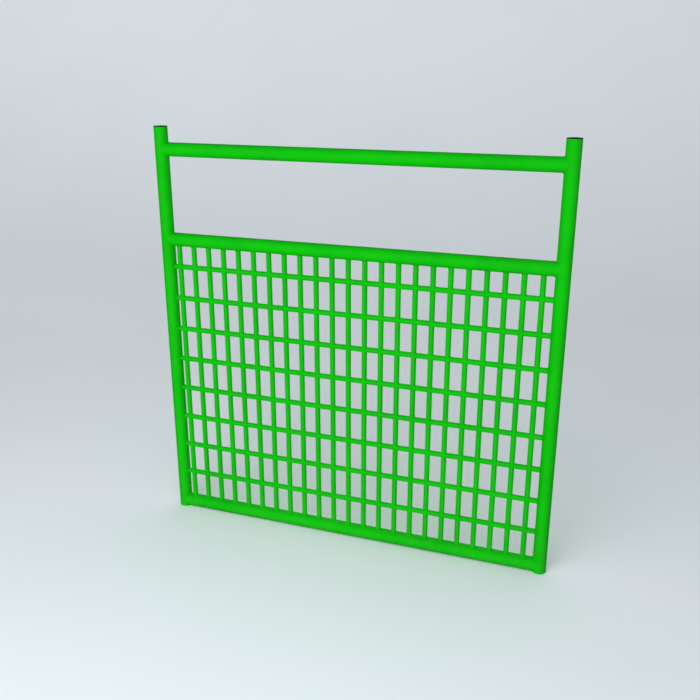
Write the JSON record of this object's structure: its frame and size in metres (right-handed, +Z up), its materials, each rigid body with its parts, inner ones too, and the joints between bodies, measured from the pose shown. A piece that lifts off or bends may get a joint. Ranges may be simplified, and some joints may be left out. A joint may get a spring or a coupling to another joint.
{
  "type": "livestock panel gate",
  "caption": "Rigid livestock panel gate: round tube frame with an open bay above the middle rail, a flush welded grid of round rods below it, and plugs in the post tops.",
  "frame": {"origin": "on the ground, midway between the axes of the two posts", "axes": "+Z up, +X along the panel towards the right post as seen from the front, +Y through the panel towards the back"},
  "size_m": [1.2478, 0.0412, 1.2685],
  "materials": {
    "green_steel": "satin powder coat",
    "plug": "matte moulded"
  },
  "bodies": {
    "root": {"left_post": "green_steel", "right_post": "green_steel", "top_rail": "green_steel", "mid_rail": "green_steel", "bottom_rail": "green_steel", "bar_01": "green_steel", "bar_02": "green_steel", "bar_03": "green_steel", "bar_04": "green_steel", "bar_05": "green_steel", "bar_06": "green_steel", "bar_07": "green_steel", "bar_08": "green_steel", "bar_09": "green_steel", "bar_10": "green_steel", "bar_11": "green_steel", "bar_12": "green_steel", "bar_13": "green_steel", "bar_14": "green_steel", "bar_15": "green_steel", "bar_16": "green_steel", "bar_17": "green_steel", "bar_18": "green_steel", "bar_19": "green_steel", "bar_20": "green_steel", "bar_21": "green_steel", "bar_22": "green_steel", "bar_23": "green_steel", "row_1": "green_steel", "row_2": "green_steel", "row_3": "green_steel", "row_4": "green_steel", "row_5": "green_steel", "row_6": "green_steel", "row_7": "green_steel", "row_8": "green_steel", "left_cap": "plug", "right_cap": "plug"}
  },
  "joints": []
}
